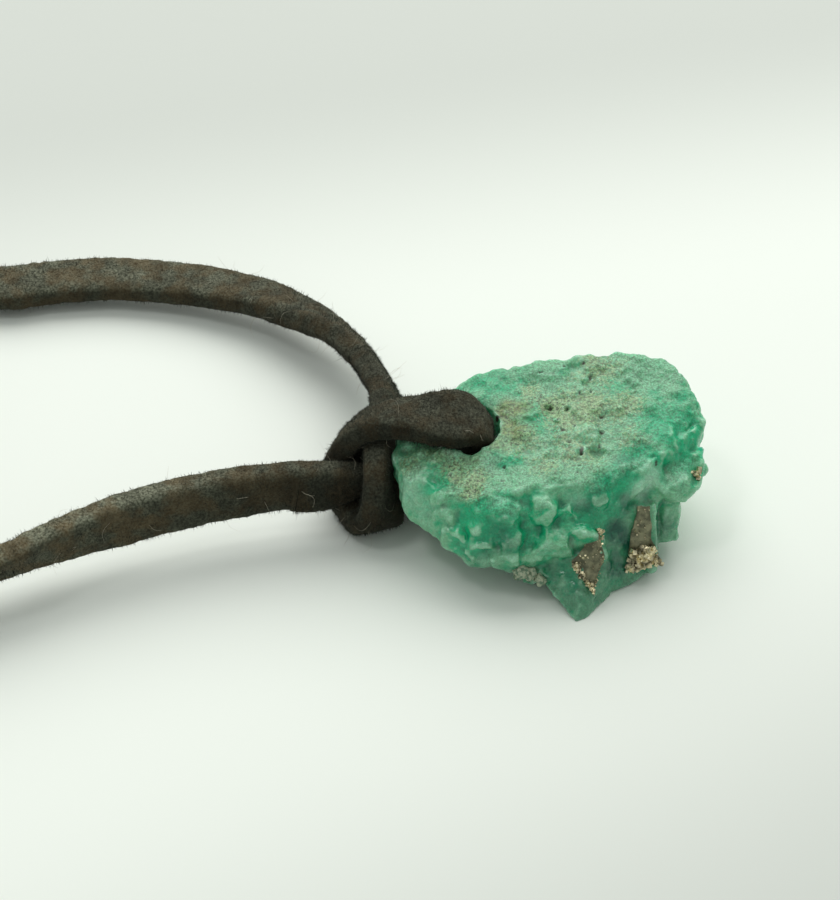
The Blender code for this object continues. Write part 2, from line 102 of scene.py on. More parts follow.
# The free strands, from the knot to the coil: the strip's centre and its lean from upright, in degrees
UPPER_STRAND = [
    ((-10.22, 12.2, 2.53), -32), ((-11.05, 13.86, 2.45), -40), ((-11.88, 15.01, 2.4), -50),
    ((-12.96, 16.14, 2.3), -62), ((-14.01, 17.21, 2.15), -72), ((-16.37, 19.17, 1.85), -84),
    ((-19.26, 20.45, 1.6), -92), ((-22.16, 21.31, 1.45), -95), ((-25.92, 21.74, 1.35), -96),
    ((-29.66, 21.36, 1.3), -96), ((-32.12, 20.95, 1.3), -98), ((-38.5, 22.0, 1.3), -115),
    ((-45.0, 26.0, 1.45), -155), ((-53.5, 28.6, 1.58), -180),
]
LOWER_STRAND = [
    ((-14.18, 0.42, 3.35), -4), ((-16.87, -0.13, 3.35), 0), ((-19.27, -0.8, 3.3), 2),
    ((-21.44, -1.52, 3.2), 3), ((-23.79, -2.48, 3.1), -4), ((-25.84, -3.46, 3.0), -14),
    ((-27.42, -4.3, 2.95), -24), ((-28.78, -5.15, 2.95), -30), ((-34.0, -7.4, 3.0), -20),
    ((-41.0, -9.8, 3.6), -6), ((-53.5, -11.6, 4.65), 0),
]
COIL_CENTRE = (-58.5, 8.5)
COIL_OUTER_RADIUS = 19.2
TURN_PITCH = 1.6
COIL_TURNS = 3.4
COIL_LAYER_HEIGHTS = (1.53, 4.7)

# From the drawing's origin to the row frame's, in millimetres
_coil_low, _coil_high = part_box("lace_coil")
SHIFT = np.array([
    (_coil_low.x + _coil_high.x) / 2 / MM - COIL_CENTRE[0],
    (_coil_low.y + _coil_high.y) / 2 / MM - COIL_CENTRE[1],
    0.0,
])

# Camera: what it looks at in drawing millimetres, its height above the horizon and its lens
CAMERA_TARGET = (-7.027, 7.400, 0.0)
CAMERA_ELEVATION = math.radians(40.0)
CAMERA_DISTANCE = 150.0
CAMERA_LENS = 106.8
SENSOR = 36.0
FLOOR_REACH = 1500.0
GLINT_SHARE = 0.06  # the small light's power as a share of the broad one's

# Where the stone's colours gather, in drawing millimetres: x, y, z, reach, strength
EMERALD_SPOTS = [
    (-6.35, -1.15, 5.2, 1.15, 1.0), (-3.2, 5.2, 6.4, 2.3, 0.7), (-5.2, 4.6, 6.2, 1.6, 0.6),
    (-0.7, 2.3, 6.4, 1.6, 0.8), (-2.2, -0.4, 5.9, 1.1, 0.8), (6.4, 2.0, 6.0, 2.6, 0.9), (7.4, 3.6, 6.0, 1.8, 0.8),
    (4.6, -0.4, 5.9, 1.5, 0.7), (3.1, -1.8, 5.3, 1.4, 0.9), (3.6, 4.5, 6.7, 1.2, 0.5), (0.9, 5.8, 6.9, 1.0, 0.4),
    (-3.6, -3.4, 4.6, 2.0, 0.9), (-1.4, -3.6, 4.2, 1.8, 0.9), (-4.4, -3.9, 3.2, 1.5, 0.8),
    (0.6, -3.3, 4.3, 1.4, 0.6), (2.2, -2.9, 4.3, 1.7, 0.9), (6.6, 0.4, 5.2, 1.6, 0.6),
]
BEIGE_SPOTS = [
    (1.2, 2.9, 6.5, 2.4, 1.0), (2.6, 5.8, 6.9, 1.9, 0.7), (1.4, 0.2, 6.2, 2.0, 0.7), (-4.3, -1.9, 5.5, 1.4, 0.9),
    (-5.2, -0.6, 5.3, 1.1, 0.6), (3.9, 3.2, 6.5, 1.5, 0.7), (4.0, 1.0, 6.4, 1.3, 0.5), (-0.4, -0.6, 6.0, 1.3, 0.6),
    (-1.0, 4.4, 6.6, 1.0, 0.8), (-8.0, 0.2, 4.6, 1.4, 0.6), (-1.4, 0.6, 6.1, 1.2, 0.6), (-6.8, -0.2, 5.2, 1.2, 0.4),
]
STAIN_SPOTS = [
    (-2.3, 2.9, 6.3, 1.2, 1.0), (-2.0, 1.7, 6.2, 1.3, 1.0), (-3.0, 0.7, 6.0, 1.1, 0.7), (-6.0, 0.3, 5.4, 1.5, 0.45),
    (-0.4, 3.6, 6.5, 0.7, 0.5), (-4.4, -0.2, 5.7, 1.0, 0.5),
]
PALE_SPOTS = [
    (4.9, -1.2, 5.1, 1.2, 1.2), (-2.2, -3.0, 4.7, 1.1, 0.8), (7.1, 4.4, 5.0, 1.0, 0.6), (5.0, 6.3, 6.0, 0.9, 0.6),
    (-7.6, -0.9, 4.4, 1.4, 0.8), (-0.7, -4.9, 3.5, 0.9, 0.9), (1.1, -2.4, 5.3, 0.8, 0.6),
    (-6.9, -2.3, 4.0, 1.0, 0.5), (-3.4, -4.6, 2.6, 0.7, 0.4), (6.9, -0.6, 4.9, 0.9, 0.5), (0.4, -5.4, 1.3, 0.6, 0.4),
]
# The dark spots low on the front paint dark crystal together with the shade of the recess under the front ledge.
DEEP_SPOTS = [
    (-6.4, -1.5, 5.6, 0.8, 0.4), (3.8, -0.7, 5.6, 1.0, 0.45), (-2.9, 5.9, 6.0, 0.9, 0.2), (-3.4, -0.8, 6.1, 0.7, 0.2),
    (3.5, -3.1, 2.6, 1.3, 1.0), (3.1, -4.1, 1.2, 1.3, 0.9), (3.7, -2.3, 4.0, 0.9, 0.8), (5.9, -1.5, 2.0, 1.2, 0.6),
    (-2.7, -4.5, 3.8, 1.2, 0.55), (1.0, -5.6, 1.0, 1.8, 0.55), (-3.4, -4.0, 2.6, 1.3, 0.5), (1.9, -2.6, 4.7, 1.0, 0.6),
]
# Where the hole's near rim leans over the lace, and how far, in millimetres
RIM_SPOTS = [(-5.35, 0.5, 5.35, 0.8, 1.0)]
RIM_LEAN = 0.38
HOLE = (-4.6, 1.9)
BIG_BLOCK, SMALL_BLOCK = 1.15, 0.5  # millimetres across the crowded crystals
# The pits of the worn top: x, y, and half the width and length, all shrunk by the share
PIT_SHARE = 0.8
PIT_DEPTH = 0.14
PITS = [
    (1.46, 0.06, 0.14, 0.36), (0.55, 1.51, 0.13, 0.16), (1.18, 1.79, 0.08, 0.18), (2.37, 1.87, 0.13, 0.22),
    (2.63, 2.49, 0.09, 0.12), (0.27, 2.36, 0.08, 0.10), (-0.05, 3.41, 0.08, 0.14), (0.87, 3.20, 0.09, 0.12),
    (0.88, 0.71, 0.14, 0.08), (1.32, -0.94, 0.07, 0.20), (1.17, -1.50, 0.09, 0.09), (-2.60, -0.79, 0.10, 0.11),
    (-5.40, -1.12, 0.09, 0.12), (-2.81, -1.79, 0.10, 0.08), (-0.48, 5.84, 0.14, 0.07), (0.78, 6.09, 0.08, 0.10),
    (2.12, 5.37, 0.10, 0.11), (2.19, 4.33, 0.07, 0.10), (1.50, 4.30, 0.07, 0.10), (-2.84, 2.95, 0.11, 0.09),
    (5.37, -0.44, 0.09, 0.10), (2.44, 0.36, 0.07, 0.10), (2.59, 1.29, 0.07, 0.10), (1.85, 6.40, 0.08, 0.10),
]
# The pyrite's two flat faces and its grainy patch: four corners each, clockwise from the top as seen in front
PYRITE_FACES = {
    "pyrite_left": [(2.34, -3.38, 3.66), (2.58, -4.35, 2.70), (2.02, -5.52, 1.10), (0.85, -4.70, 2.40)],
    "pyrite_right": [(4.40, -2.12, 4.20), (5.00, -2.00, 4.05), (5.40, -3.12, 2.00), (3.95, -3.35, 1.80)],
}
PYRITE_PATCH = [(4.0, -3.35, 2.1), (5.3, -3.15, 2.2), (5.75, -3.1, 1.1), (3.9, -3.8, 0.9)]
PYRITE_RIM_GRAIN = (7.62, -0.14, 4.74)
PLATE_STEPS, PLATE_DEPTH = 28, 0.8
# The beige grains at the stone's foot: x, y, z, radius
BEIGE_GRAINS = [(-1.75, -4.75, 1.95, 0.42), (-1.3, -4.6, 1.6, 0.5), (-0.8, -4.65, 1.3, 0.4), (-1.9, -4.6, 1.5, 0.3)]


# ---------------------------------------------------------------- settings


class LaceSettings(PropertyGroup):
    width: FloatProperty(
        name="Width", description="Width of the flat lace, without its nap", default=0.0029,
        subtype="DISTANCE", unit="LENGTH",
    )
    thickness: FloatProperty(
        name="Thickness", description="Thickness of the flat lace, without its nap", default=0.00135,
        subtype="DISTANCE", unit="LENGTH",
    )
    nap_length: FloatProperty(
        name="Nap length", description="Mean length of the suede's short fibres", default=0.00019,
        subtype="DISTANCE", unit="LENGTH",
    )
    dark: FloatVectorProperty(
        name="Dark suede", description="Colour deep in the nap", default=(0.017, 0.0205, 0.0145), subtype="COLOR"
    )
    light: FloatVectorProperty(
        name="Light suede", description="Colour of the brushed fibres", default=(0.139, 0.147, 0.108), subtype="COLOR"
    )


class StoneSettings(PropertyGroup):
    grid: FloatProperty(
        name="Grid", description="Spacing of the stone's surface points", default=0.000088,
        subtype="DISTANCE", unit="LENGTH",
    )
    facet_height: FloatProperty(
        name="Facet height", description="How far the blocky crystals stand out of the sides", default=0.00029,
        subtype="DISTANCE", unit="LENGTH",
    )
    grain_height: FloatProperty(
        name="Grain height", description="Height of the sugary grain", default=0.00005,
        subtype="DISTANCE", unit="LENGTH",
    )
    emerald: FloatVectorProperty(
        name="Emerald", description="Colour of the clear green crystals", default=(0.006, 0.370, 0.170),
        subtype="COLOR",
    )
    pale: FloatVectorProperty(
        name="Pale green", description="Colour of the worn, milky green", default=(0.150, 0.415, 0.235),
        subtype="COLOR",
    )
    beige: FloatVectorProperty(
        name="Beige", description="Colour of the matrix", default=(0.272, 0.398, 0.195), subtype="COLOR"
    )
    stain: FloatVectorProperty(
        name="Stain", description="Colour of the yellow-brown stain", default=(0.175, 0.245, 0.080), subtype="COLOR"
    )
    # The deep colour also paints shade into the hollows of the sides and the recess under the front ledge.
    deep: FloatVectorProperty(
        name="Deep crystal", description="Colour of the dark lower crystals", default=(0.004, 0.085, 0.050),
        subtype="COLOR",
    )


class StageSettings(PropertyGroup):
    floor: FloatVectorProperty(
        name="Floor", description="Colour of the floor", default=(0.83, 0.87, 0.82), subtype="COLOR"
    )
    key: FloatProperty(
        name="Key light", description="Power of the broad soft light", default=2.1, subtype="POWER", unit="POWER"
    )
    sky: FloatProperty(name="Sky", description="Strength of the even light all round", default=0.48)


# ---------------------------------------------------------------- noise


def hashed(cells, seed):
    """A value from 0 to 1 for each whole-number cell: its three numbers are weighted, added, and mixed by
    multiplying and shifting in 64 bits."""
    primes = np.array([73856093, 19349663, 83492791], np.uint64)
    with np.errstate(over="ignore"):
        mixed = (cells.astype(np.int64).astype(np.uint64) * primes).sum(-1) + np.uint64(seed * 7919 + 17)
        for shift, factor in ((33, 0xFF51AFD7ED558CCD), (29, 0xC4CEB9FE1A85EC53), (32, 0x9E3779B97F4A7C15)):
            mixed = (mixed ^ (mixed >> np.uint64(shift))) * np.uint64(factor)
    return (mixed >> np.uint64(40)).astype(float) / 2.0**24


def smooth_noise(points, size, seed):
    """From -1 to 1: random values at the corners of a lattice of the given spacing, blended by 3t^2 - 2t^3."""
    scaled = points / size
    low = np.floor(scaled)
    share = scaled - low
    share = share * share * (3 - 2 * share)
    total = np.zeros(len(points))
    for corner in itertools.product((0, 1), repeat=3):
        corner = np.array(corner)
        total += np.where(corner, share, 1 - share).prod(-1) * hashed(low + corner, seed)
    return 2 * total - 1


def layered_noise(points, size, seed, layers=3):
    """Smooth noises added, each at half the size and 0.55 of the height of the one before it."""
    return sum(smooth_noise(points, size / 2**k, seed + 31 * k) * 0.55**k for k in range(layers))


def warp(points, size, reach, seed):
    """The points moved by up to the reach along each axis by three smooth noises."""
    return points + reach * np.stack([smooth_noise(points, size, seed + 101 * axis) for axis in range(3)], 1)


def hashed_places(cells, seed):
    return np.stack([hashed(cells, seed + k) for k in range(3)], 1)


def unit(vectors, least=0.0):
    """The vectors shortened to 1. The least is added to their lengths where one may be 0."""
    return vectors / (np.linalg.norm(vectors, axis=-1, keepdims=True) + least)


def blocks(points, size, seed):
    """Heights of crowded cube-like crystals: each lattice cell holds one centre and one random turn, the distance
    to it is the largest of the three turned coordinates, and the height is one less the smallest distance.
    Also gives each point a random tone from its own crystal."""
    scaled = points / size
    base = np.floor(scaled)
    nearest = np.full(len(points), np.inf)
    tone = np.zeros(len(points))
    for step in itertools.product((-1, 0, 1), repeat=3):
        cell = base + np.array(step)
        offset = scaled - (cell + hashed_places(cell, seed))
        first = unit(hashed_places(cell, seed + 3) * 2 - 1, 1e-9)
        second = unit(np.cross(first, hashed_places(cell, seed + 6) * 2 - 1), 1e-9)
        axes = (first, second, np.cross(first, second))
        distance = np.max(np.abs([(offset * axis).sum(1) for axis in axes]), axis=0)
        tone = np.where(distance < nearest, hashed(cell, seed + 9), tone)
        nearest = np.minimum(nearest, distance)
    return 1 - nearest, tone


def ramp(values, low, high):
    """0 below low, 1 above high, and 3t^2 - 2t^3 between them."""
    share = np.clip((values - low) / (high - low), 0, 1)
    return share * share * (3 - 2 * share)


def gathered(points, spots, seed):
    """For each point the strongest spot: strength times a smooth fall from 1 at its centre to 0 at its reach, in
    space warped by noise so that no edge is round."""
    spots = np.array(spots)
    warped = warp(points, 1.1, 0.55, seed)
    found = np.zeros(len(points))
    for x, y, z, reach, strength in spots:
        distance = np.linalg.norm(warped - (x, y, z), axis=1)
        found = np.maximum(found, strength * ramp(1.25 - distance / reach, 0.0, 1.0))
    return found


# ---------------------------------------------------------------- meshes


def facing_out(points, *groups):
    """The groups of faces, all turned round if the volume that the first group encloses comes out negative."""
    faces = groups[0]
    volume = 0.0
    for corners in ([0, 1, 2], [0, 2, 3])[: faces.shape[1] - 2]:
        first, second, third = (points[faces[:, corner]] for corner in corners)
        volume += np.einsum("ij,ij->i", first, np.cross(second, third)).sum()
    return [group[:, ::-1] if volume < 0 else group for group in groups]


def mesh_object(name, points, face_groups, material, smooth=True):
    """An object at the origin from drawing-millimetre points and groups of triangles or quads."""
    mesh = bpy.data.meshes.new(name)
    corners = np.concatenate([group.ravel() for group in face_groups]).astype(np.int32)
    sides = np.concatenate([np.full(len(group), group.shape[1]) for group in face_groups])
    mesh.vertices.add(len(points))
    mesh.vertices.foreach_set("co", ((points + SHIFT) * MM).astype(np.float32).ravel())
    mesh.loops.add(len(corners))
    mesh.loops.foreach_set("vertex_index", corners)
    mesh.polygons.add(len(sides))
    mesh.polygons.foreach_set("loop_start", np.concatenate([[0], np.cumsum(sides)[:-1]]).astype(np.int32))
    mesh.polygons.foreach_set("use_smooth", np.full(len(sides), smooth))
    mesh.update(calc_edges=True)
    mesh.validate()
    mesh.materials.append(material)
    made = bpy.data.objects.new(name, mesh)
    bpy.context.scene.collection.objects.link(made)
    return made


def add_values(obj, name, values):
    """Stores one number for each point of the mesh under the name."""
    made = obj.data.attributes.new(name, "FLOAT", "POINT")
    made.data.foreach_set("value", np.asarray(values, np.float32))


def on_root(obj):
    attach(obj, "root")
    return obj


# ---------------------------------------------------------------- materials

WARM_SUEDE = (0.062, 0.040, 0.018)
STRAW = (0.26, 0.23, 0.16)
PALE_HAIR = (0.50, 0.46, 0.36)
WHITISH_EDGE = (0.38, 0.64, 0.47)
DIRT = (0.050, 0.090, 0.036)
PIT_FLOOR = (0.030, 0.035, 0.018)


def fill(made, inputs):
    """Sets each input of a node to a number or a colour, or links it to another node's output."""
    for name, value in inputs.items():
        if isinstance(value, bpy.types.NodeSocket):
            made.id_data.links.new(value, made.inputs[name])
        else:
            colour = made.inputs[name].type == "RGBA"
            made.inputs[name].default_value = (*value, 1.0) if colour else value


def node(tree, kind, settings, inputs):
    """A node with its settings and its inputs."""
    made = tree.nodes.new(kind)
    for name, value in settings.items():
        setattr(made, name, value)
    fill(made, inputs)
    return made


def blank_material(name):
    made = bpy.data.materials.new(name)
    made.use_nodes = True
    return made, made.node_tree, made.node_tree.nodes["Principled BSDF"]


def millimetres(tree):
    """Object coordinates in millimetres."""
    inputs = {"Vector": node(tree, "ShaderNodeTexCoord", {}, {}).outputs["Object"], "Scale": 1 / MM}
    return node(tree, "ShaderNodeVectorMath", {"operation": "SCALE"}, inputs).outputs["Vector"]


def noise(place, size, detail=2.0, roughness=0.5):
    """A noise from 0 to 1 whose blotches are about the given size in millimetres."""
    inputs = {"Vector": place, "Scale": 1 / size, "Detail": detail, "Roughness": roughness}
    return node(place.id_data, "ShaderNodeTexNoise", {}, inputs).outputs["Fac"]


def cells(place, size):
    """Small flat-sided humps about the given size in millimetres, each around its own centre."""
    return node(place.id_data, "ShaderNodeTexVoronoi", {}, {"Vector": place, "Scale": 1 / size}).outputs["Distance"]


def stepped(value, low, high, to_low=0.0, to_high=1.0):
    """The value carried smoothly from the range low..high to the range to_low..to_high."""
    inputs = {"Value": value, "From Min": low, "From Max": high, "To Min": to_low, "To Max": to_high}
    return node(value.id_data, "ShaderNodeMapRange", {"interpolation_type": "SMOOTHSTEP"}, inputs).outputs["Result"]


def maths(operation, first, second):
    return node(first.id_data, "ShaderNodeMath", {"operation": operation}, {0: first, 1: second}).outputs["Value"]


def times(first, *others):
    for other in others:
        first = maths("MULTIPLY", first, other)
    return first


def mixed(tree, share, first, second, blend="MIX"):
    """Two colours mixed by the share."""
    inputs = {0: share, 6: first, 7: second}
    return node(tree, "ShaderNodeMix", {"data_type": "RGBA", "blend_type": blend}, inputs).outputs[2]


def attribute(tree, name):
    return node(tree, "ShaderNodeAttribute", {"attribute_name": name}, {}).outputs["Fac"]


def parts_of(place):
    return node(place.id_data, "ShaderNodeSeparateXYZ", {}, {"Vector": place}).outputs


def bump(height, strength, reach):
    """A normal roughened by the height, whose full range stands for the reach in millimetres."""
    inputs = {"Height": height, "Strength": strength, "Distance": reach * MM}
    return node(height.id_data, "ShaderNodeBump", {}, inputs).outputs["Normal"]


def suede_material(settings):
    """Olive brown suede in warmer and darker patches, with a mottled nap. Its colour also carries painted light and
    shade: paler where it faces up and darker on its sides, darker at the knot, and paler along its strands, away
    from the knot, and on the front strand."""
    made, tree, shader = blank_material("brown_suede")
    place = millimetres(tree)
    # The map named worn is painted light and shade: from 0 where the suede faces down to 1 where it faces up.
    worn = attribute(tree, "worn")
    grain = stepped(noise(place, 0.13, 3.0, 0.6), 0.3, 0.72, 0.05, 0.8)
    colour = mixed(tree, times(grain, stepped(worn, 0.0, 1.0, 0.5, 1.0)), settings.dark, settings.light)
    colour = mixed(tree, stepped(noise(place, 1.3, 3.0), 0.40, 0.62, 0.08, 0.55), colour, WARM_SUEDE)
    parts = parts_of(place)
    # The suede's own uneven tone times painted light and shade: paler facing up, darker at the knot, paler along the
    # strands and on the front strand.
    shade = times(
        stepped(noise(place, 1.1, 3.0), 0.35, 0.7, 1.1, 0.7), stepped(worn, 0.0, 0.9, 0.72, 1.1),
        stepped(parts["X"], -24.0, -8.0, 1.55, 0.72), stepped(parts["Y"], -5.0, 3.0, 1.5, 1.0),
    )
    fill(shader, {
        "Base Color": mixed(tree, 1.0, colour, shade, "MULTIPLY"), "Roughness": 0.95,
        "Normal": bump(noise(place, 0.10, 3.0), 0.8, 0.08), "Specular IOR Level": 0.12,
        "Sheen Weight": 0.12, "Sheen Roughness": 0.45, "Sheen Tint": (0.60, 0.58, 0.45),
    })
    return made


def fibre_material(settings):
    """Single suede fibres, each with its own tone from dark brown to straw, painted paler where they face up and
    darker where they face down, as painted light and shade.
    """
    made, tree, shader = blank_material("suede_fibres")
    tone = attribute(tree, "tone")
    # Painted light and shade: each fibre's tone is dimmed where the worn map says it faces down.
    colour = mixed(tree, times(tone, attribute(tree, "worn")), settings.dark, settings.light)
    colour = mixed(tree, stepped(tone, 0.93, 1.0), colour, STRAW)
    fill(shader, {"Base Color": colour, "Roughness": 0.8, "Specular IOR Level": 0.2})
    return made


def stray_material():
    """Pale single hairs."""
    made, _, shader = blank_material("stray_hairs")
    fill(shader, {"Base Color": PALE_HAIR, "Roughness": 0.6})
    return made


def stone_material(settings):
    """Worn emerald in matrix: milky and clear green, beige, a yellow-brown stain, dark pits and whitish edges,
    all broken up by a fine sugary grain, and lit from inside. The clear crystals are smoother and more even, with
    small flat-sided humps in place of the grain."""
    made, tree, shader = blank_material("emerald_in_matrix")
    place = millimetres(tree)
    sugar = noise(place, 0.16, 3.0, 0.6)
    mottle = noise(place, 0.7, 3.0, 0.6)
    clear = attribute(tree, "clear")
    emerald = maths("ADD", attribute(tree, "emerald"), stepped(mottle, 0.3, 0.75, -0.25, 0.35))
    colour = mixed(tree, stepped(emerald, 0.1, 0.95), settings.pale, settings.emerald)
    beige = maths("ADD", attribute(tree, "beige"), stepped(sugar, 0.3, 0.7, -0.35, 0.35))
    colour = mixed(tree, stepped(beige, 0.15, 0.95, 0.0, 0.85), colour, settings.beige)
    stain = times(attribute(tree, "stain"), stepped(mottle, 0.3, 0.6, 0.4, 1.0))
    colour = mixed(tree, stain, colour, settings.stain)
    # Dark lower crystals, with painted shade in the hollows and under the front ledge.
    colour = mixed(tree, attribute(tree, "deep"), colour, settings.deep)
    colour = mixed(tree, attribute(tree, "edge"), colour, WHITISH_EDGE)
    low, high = stepped(clear, 0.0, 0.8, 0.54, 0.92), stepped(clear, 0.0, 0.8, 1.38, 1.24)
    colour = mixed(tree, 1.0, colour, stepped(noise(place, 0.11, 2.0, 0.7), 0.3, 0.7, low, high), "MULTIPLY")
    dirt = times(attribute(tree, "dirt"), stepped(noise(place, 0.17, 3.0, 0.65), 0.51, 0.61))
    colour = mixed(tree, dirt, colour, DIRT)
    colour = mixed(tree, attribute(tree, "pit"), colour, PIT_FLOOR)
    broken = maths(
        "ADD", times(sugar, stepped(clear, 0.0, 0.8, 1.0, 0.2)),
        times(cells(place, 0.42), stepped(clear, 0.1, 0.8, 0.0, 1.3)),
    )
    fill(shader, {
        "Base Color": colour, "Roughness": stepped(clear, 0.0, 1.0, 0.5, 0.15), "Normal": bump(broken, 0.75, 0.07),
        "IOR": 1.57, "Subsurface Weight": 0.45, "Subsurface Radius": (0.30, 1.0, 0.75), "Subsurface Scale": 0.9 * MM,
    })
    return made


def pyrite_material(name, bright, dull, roughness):
    """Brassy metal, bright and tarnished in patches, with an uneven gloss."""
    made, tree, shader = blank_material(name)
    place = millimetres(tree)
    fill(shader, {
        "Base Color": mixed(tree, stepped(noise(place, 0.45, 3.0), 0.35, 0.65), bright, dull), "Metallic": 0.85,
        "Roughness": stepped(noise(place, 0.25), 0.3, 0.7, roughness - 0.12, roughness + 0.15),
        "Normal": bump(noise(place, 0.12, 2.0), 0.5, 0.05),
    })
    return made


def grain_material():
    """Pale beige grains with greenish grey specks."""
    made, tree, shader = blank_material("beige_grains")
    speck = stepped(noise(millimetres(tree), 0.16, 2.0), 0.4, 0.65)
    fill(shader, {"Base Color": mixed(tree, speck, (0.40, 0.44, 0.31), (0.11, 0.19, 0.12)), "Roughness": 0.6})
    return made


# ---------------------------------------------------------------- the lace


def strand_rows(route, turn_sign, height):
    """The rows of one strand out to the coil's inner end: centre, direction of the width, width share.

    After the route comes a flat spiral whose radius falls by one pitch a turn, and which keeps the last lean. The
    width direction is the downward direction turned by the lean about the line, then negated."""
    centres, leans = zip(*route)
    turns = np.arange(0.0, COIL_TURNS, 1 / SPIRAL_STEPS)
    angle = turn_sign * (math.pi / 2 + turns * math.tau)
    radius = COIL_OUTER_RADIUS - TURN_PITCH * turns
    x, y = COIL_CENTRE[0] + radius * np.cos(angle), COIL_CENTRE[1] + radius * np.sin(angle)
    centres = np.vstack([centres, np.stack([x, y, np.full(len(turns), height)], 1)])
    leans = np.radians(leans)
    leans = np.concatenate([leans, np.full(len(turns), leans[-1])])[:, None]
    along = unit(np.gradient(centres, axis=0))
    down = unit(along * along[:, 2:] - (0.0, 0.0, 1.0))
    across = down * np.cos(leans) + np.cross(along, down) * np.sin(leans)
    return np.hstack([centres, -across, np.ones((len(centres), 1))])


def smooth_line(rows):
    """Each place is the cubic through four neighbouring rows, as in a Catmull-Rom curve."""
    padded = np.vstack([2 * rows[0] - rows[1], rows, 2 * rows[-1] - rows[-2]])
    along = np.linspace(0, len(rows) - 1, (len(rows) - 1) * STEPS_PER_GAP + 1)
    index = np.minimum(along.astype(int), len(rows) - 2)
    t = (along - index)[:, None]
    a, b, c, d = (padded[index + k] for k in range(4))
    return 0.5 * (2 * b + (c - a) * t + (2 * a - 5 * b + 4 * c - d) * t**2 + (3 * b - a - 3 * c + d) * t**3)


def lengths_along(line):
    return np.concatenate([[0], np.cumsum(np.linalg.norm(np.diff(line[:, :3], axis=0), axis=1))])


def whole_lace():
    """The whole lace as one smooth line, from the back strand's coiled end to the front strand's, with the
    lengths at which it leaves the knot."""
    back = strand_rows(UPPER_STRAND, 1, COIL_LAYER_HEIGHTS[0])[::-1]
    front = strand_rows(LOWER_STRAND, -1, COIL_LAYER_HEIGHTS[1])
    knot = np.array([np.concatenate([np.ravel(part) for part in row]) for row in KNOT_ROUTE])
    line = smooth_line(np.vstack([back, knot, front]))
    lengths = lengths_along(line)
    first, last = len(back) * STEPS_PER_GAP, (len(back) + len(knot) - 1) * STEPS_PER_GAP
    return line, lengths, lengths[first], lengths[last]


def steps_along(start, stop, near_from, near_to):
    """Lengths from start to stop, at fine steps where the lace is near the stone and at coarse ones elsewhere."""
    near_from, near_to = max(start, near_from), min(stop, near_to)
    pieces = [
        np.arange(start, near_from, COARSE_STEP), np.arange(near_from, near_to, FINE_STEP),
        np.arange(near_to, stop, COARSE_STEP), [stop],
    ]
    return np.unique(np.concatenate(pieces))


def at_lengths(line, lengths, wanted):
    return np.stack([np.interp(wanted, lengths, column) for column in line.T], 1)


def section(half_width, half_thickness):
    """A rounded rectangle, |x/a|^n + |y/b|^n = 1, as points at even steps of its length and their outward normals."""
    angle = np.linspace(0, math.tau, 721)
    x, y = (
        half * np.sign(way) * np.abs(way) ** (2 / SQUARENESS)
        for half, way in ((half_width, np.cos(angle)), (half_thickness, np.sin(angle)))
    )
    lengths = np.concatenate([[0], np.cumsum(np.hypot(np.diff(x), np.diff(y)))])
    wanted = np.arange(SKIN_POINTS) / SKIN_POINTS * lengths[-1]
    x, y = np.interp(wanted, lengths, x), np.interp(wanted, lengths, y)
    nx, ny = (
        np.sign(place) * np.abs(place / half) ** (SQUARENESS - 1) / half
        for place, half in ((x, half_width), (y, half_thickness))
    )
    size = np.hypot(nx, ny)
    return x, y, nx / size, ny / size


def sweep(line, settings):
    """The lace's skin: the rounded section carried along the line, its width and thickness wandering by a few
    percent, then roughened along its own normals."""
    centres, across, share = line[:, :3], line[:, 3:6], line[:, 6:7]
    along = unit(np.gradient(centres, axis=0))
    across = unit(across - along * (across * along).sum(1, keepdims=True))
    through = np.cross(along, across)
    x, y, nx, ny = section(settings.width / 2 / MM, settings.thickness / 2 / MM)
    wide = share * (1 + 0.035 * smooth_noise(centres, 2.3, 5)[:, None])
    thick = 1 + 0.05 * smooth_noise(centres, 1.9, 6)[:, None]
    across, through = across[:, None], through[:, None]
    points = centres[:, None] + across * (x * wide)[..., None] + through * (y * thick)[..., None]
    normals = across * nx[None, :, None] + through * ny[None, :, None]
    flat = points.reshape(-1, 3)
    height = 0.045 * layered_noise(flat, 0.34, 21, 3) + 0.03 * smooth_noise(flat, 1.3, 22)
    points += normals * height.reshape(points.shape[:2])[..., None]
    points[..., 2] = np.maximum(points[..., 2], FLOOR_GAP)
    return points, normals


def tube_faces(rows, around):
    """Quads between neighbouring rings, and a fan of triangles that closes each end on its own middle point."""
    ring = np.arange(rows * around).reshape(rows, around)
    after = np.roll(ring, -1, axis=1)
    quads = np.stack([ring[:-1], after[:-1], after[1:], ring[1:]], -1).reshape(-1, 4)
    ends = rows * around
    first = np.stack([after[0], ring[0], np.full(around, ends)], 1)
    last = np.stack([ring[-1], after[-1], np.full(around, ends + 1)], 1)
    return quads, np.vstack([first, last])


def painted_top_light_share(normals):
    """How much painted light the suede gets from above: from 0 where it faces down, painted as side shade, to 1 where
    it faces up.
    """
    return ramp(normals[:, 2], -0.25, 0.95)


def lace_piece(name, line, settings, material):
    """One stretch of the lace as a closed mesh, with flat ends."""
    points, normals = sweep(line, settings)
    quads, fans = tube_faces(*points.shape[:2])
    flat = np.vstack([points.reshape(-1, 3), points[0].mean(0), points[-1].mean(0)])
    made = mesh_object(name, flat, facing_out(flat, quads, fans), material)
    made.data.polygons.foreach_set("use_smooth", np.arange(len(quads) + len(fans)) < len(quads))
    # The worn map: painted top light and side shade of the skin.
    add_values(made, "worn", np.concatenate([painted_top_light_share(normals.reshape(-1, 3)), [0.5, 0.5]]))
    return on_root(made), points, normals


def triangle_round(first, second):
    """Three even directions across a fibre, from two directions at right angles."""
    angles = (np.arange(3) * math.tau / 3)[:, None]
    return np.cos(angles) * first[:, None] + np.sin(angles) * second[:, None]


